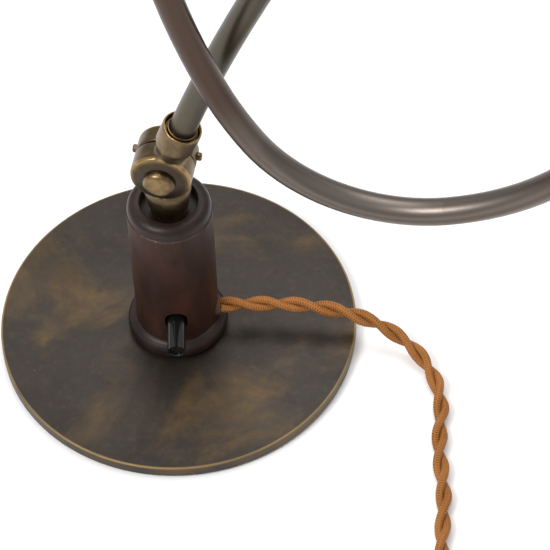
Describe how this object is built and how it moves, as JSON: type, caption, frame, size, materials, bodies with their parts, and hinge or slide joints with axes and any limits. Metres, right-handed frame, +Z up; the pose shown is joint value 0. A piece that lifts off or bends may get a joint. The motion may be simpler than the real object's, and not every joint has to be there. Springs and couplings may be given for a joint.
{
  "type": "swing arm desk lamp",
  "caption": "Desk lamp with a heavy round base, a turned column, curved tube arms on brass knuckles, a small metal shade and a twisted cloth cord.",
  "frame": {"origin": "centre of the base's flat underside, on the surface that the lamp stands on", "axes": "+Z up along the column, -Y towards the side with the switch lever, +X towards the side where the cord leaves"},
  "size_m": [0.4115, 0.3532, 0.4309],
  "materials": {
    "felt": "dense black felt",
    "patina": "dark bronze patina, softly clouded, satin",
    "steel": "plain steel",
    "column_brown": "dark red-brown turned sleeve, satin lacquer",
    "column_dark": "dark bronzed metal, satin",
    "bush_brass": "plain turned brass",
    "knuckle_brass": "antique brass, brown in the hollows and bright on the edges",
    "bright_brass": "rubbed antique brass",
    "tube_bronze": "bronzed brass tube, satin",
    "fibre": "brown phenolic",
    "black_plastic": "glossy black phenolic",
    "lead": "insulated lead",
    "shade_metal": "dark bronze patina outside, satin",
    "glass_opal": "opal glass",
    "cord_cloth": "golden cloth braid, two twisted cores"
  },
  "bodies": {
    "base": {"felt_pad": "felt", "base_disc": "patina", "base_screws": "steel", "foot_plug": "fibre", "foot_ring": "column_dark", "column_body": "column_brown", "column_cap": "column_dark", "swivel_bush": "bush_brass", "switch_body": "black_plastic", "switch_pin": "steel", "switch_plate": "black_plastic", "terminal_block": "fibre", "cord_bush": "cord_cloth", "supply_lead": "lead", "riser_lead": "lead", "cord_run": "cord_cloth", "cord_coil": "cord_cloth", "cord_tie": "cord_cloth", "cord_tail": "cord_cloth", "plug_body": "black_plastic", "plug_pins": "bush_brass"},
    "neck": {"neck": "knuckle_brass", "swivel_washer": "steel", "swivel_nut": "steel", "lower_bolt": "knuckle_brass", "lower_cap_nut": "bright_brass", "lower_washer": "fibre", "lower_side_screws": "bright_brass"},
    "stem": {"stem_knuckle": "knuckle_brass", "stem_collar": "bright_brass", "stem_tube": "tube_bronze", "stem_lead": "lead", "elbow_rear": "knuckle_brass", "elbow_stem_collar": "bright_brass", "elbow_bolt": "knuckle_brass", "elbow_cap_nut": "bright_brass", "elbow_washer": "fibre", "elbow_side_screws": "bright_brass"},
    "arm": {"elbow_front": "knuckle_brass", "elbow_arm_collar": "bright_brass", "arm_tube": "tube_bronze", "arm_lead": "lead", "shade_knuckle_front": "knuckle_brass", "shade_arm_collar": "bright_brass", "shade_bolt": "knuckle_brass", "shade_cap_nut": "bright_brass", "shade_washer": "fibre"},
    "shade": {"shade_knuckle_rear": "knuckle_brass", "shade_side_screws": "bright_brass", "holder_nipple": "bush_brass", "holder_cap": "shade_metal", "lampholder": "fibre", "shade_ring": "black_plastic", "shade": "shade_metal", "bulb": "glass_opal", "bulb_cap": "bush_brass"},
    "lever": {"switch_lever": "black_plastic"}
  },
  "joints": [
    {"name": "base_swivel", "type": "hinge", "parent": "base", "child": "neck", "pos_m": [0, 0, 0.0925], "axis": [0, 0, 1], "range_deg": [-150, 150]},
    {"name": "stem_tilt", "type": "hinge", "parent": "neck", "child": "stem", "pos_m": [0, 0, 0.1262], "axis": [-0.2079, -0.9781, 0], "range_deg": [-12, 25]},
    {"name": "elbow_tilt", "type": "hinge", "parent": "stem", "child": "arm", "pos_m": [0.20432, -0.05876, 0.23224], "axis": [-0.2079, -0.9781, 0], "range_deg": [-50, 15]},
    {"name": "shade_tilt", "type": "hinge", "parent": "arm", "child": "shade", "pos_m": [-0.12489, 0.01121, 0.41], "axis": [-0.2079, -0.9781, 0], "range_deg": [-45, 28]},
    {"name": "switch_toggle", "type": "hinge", "parent": "base", "child": "lever", "pos_m": [0, -0.008, 0.0315], "axis": [-1, 0, 0], "range_deg": [0, 9]}
  ]
}
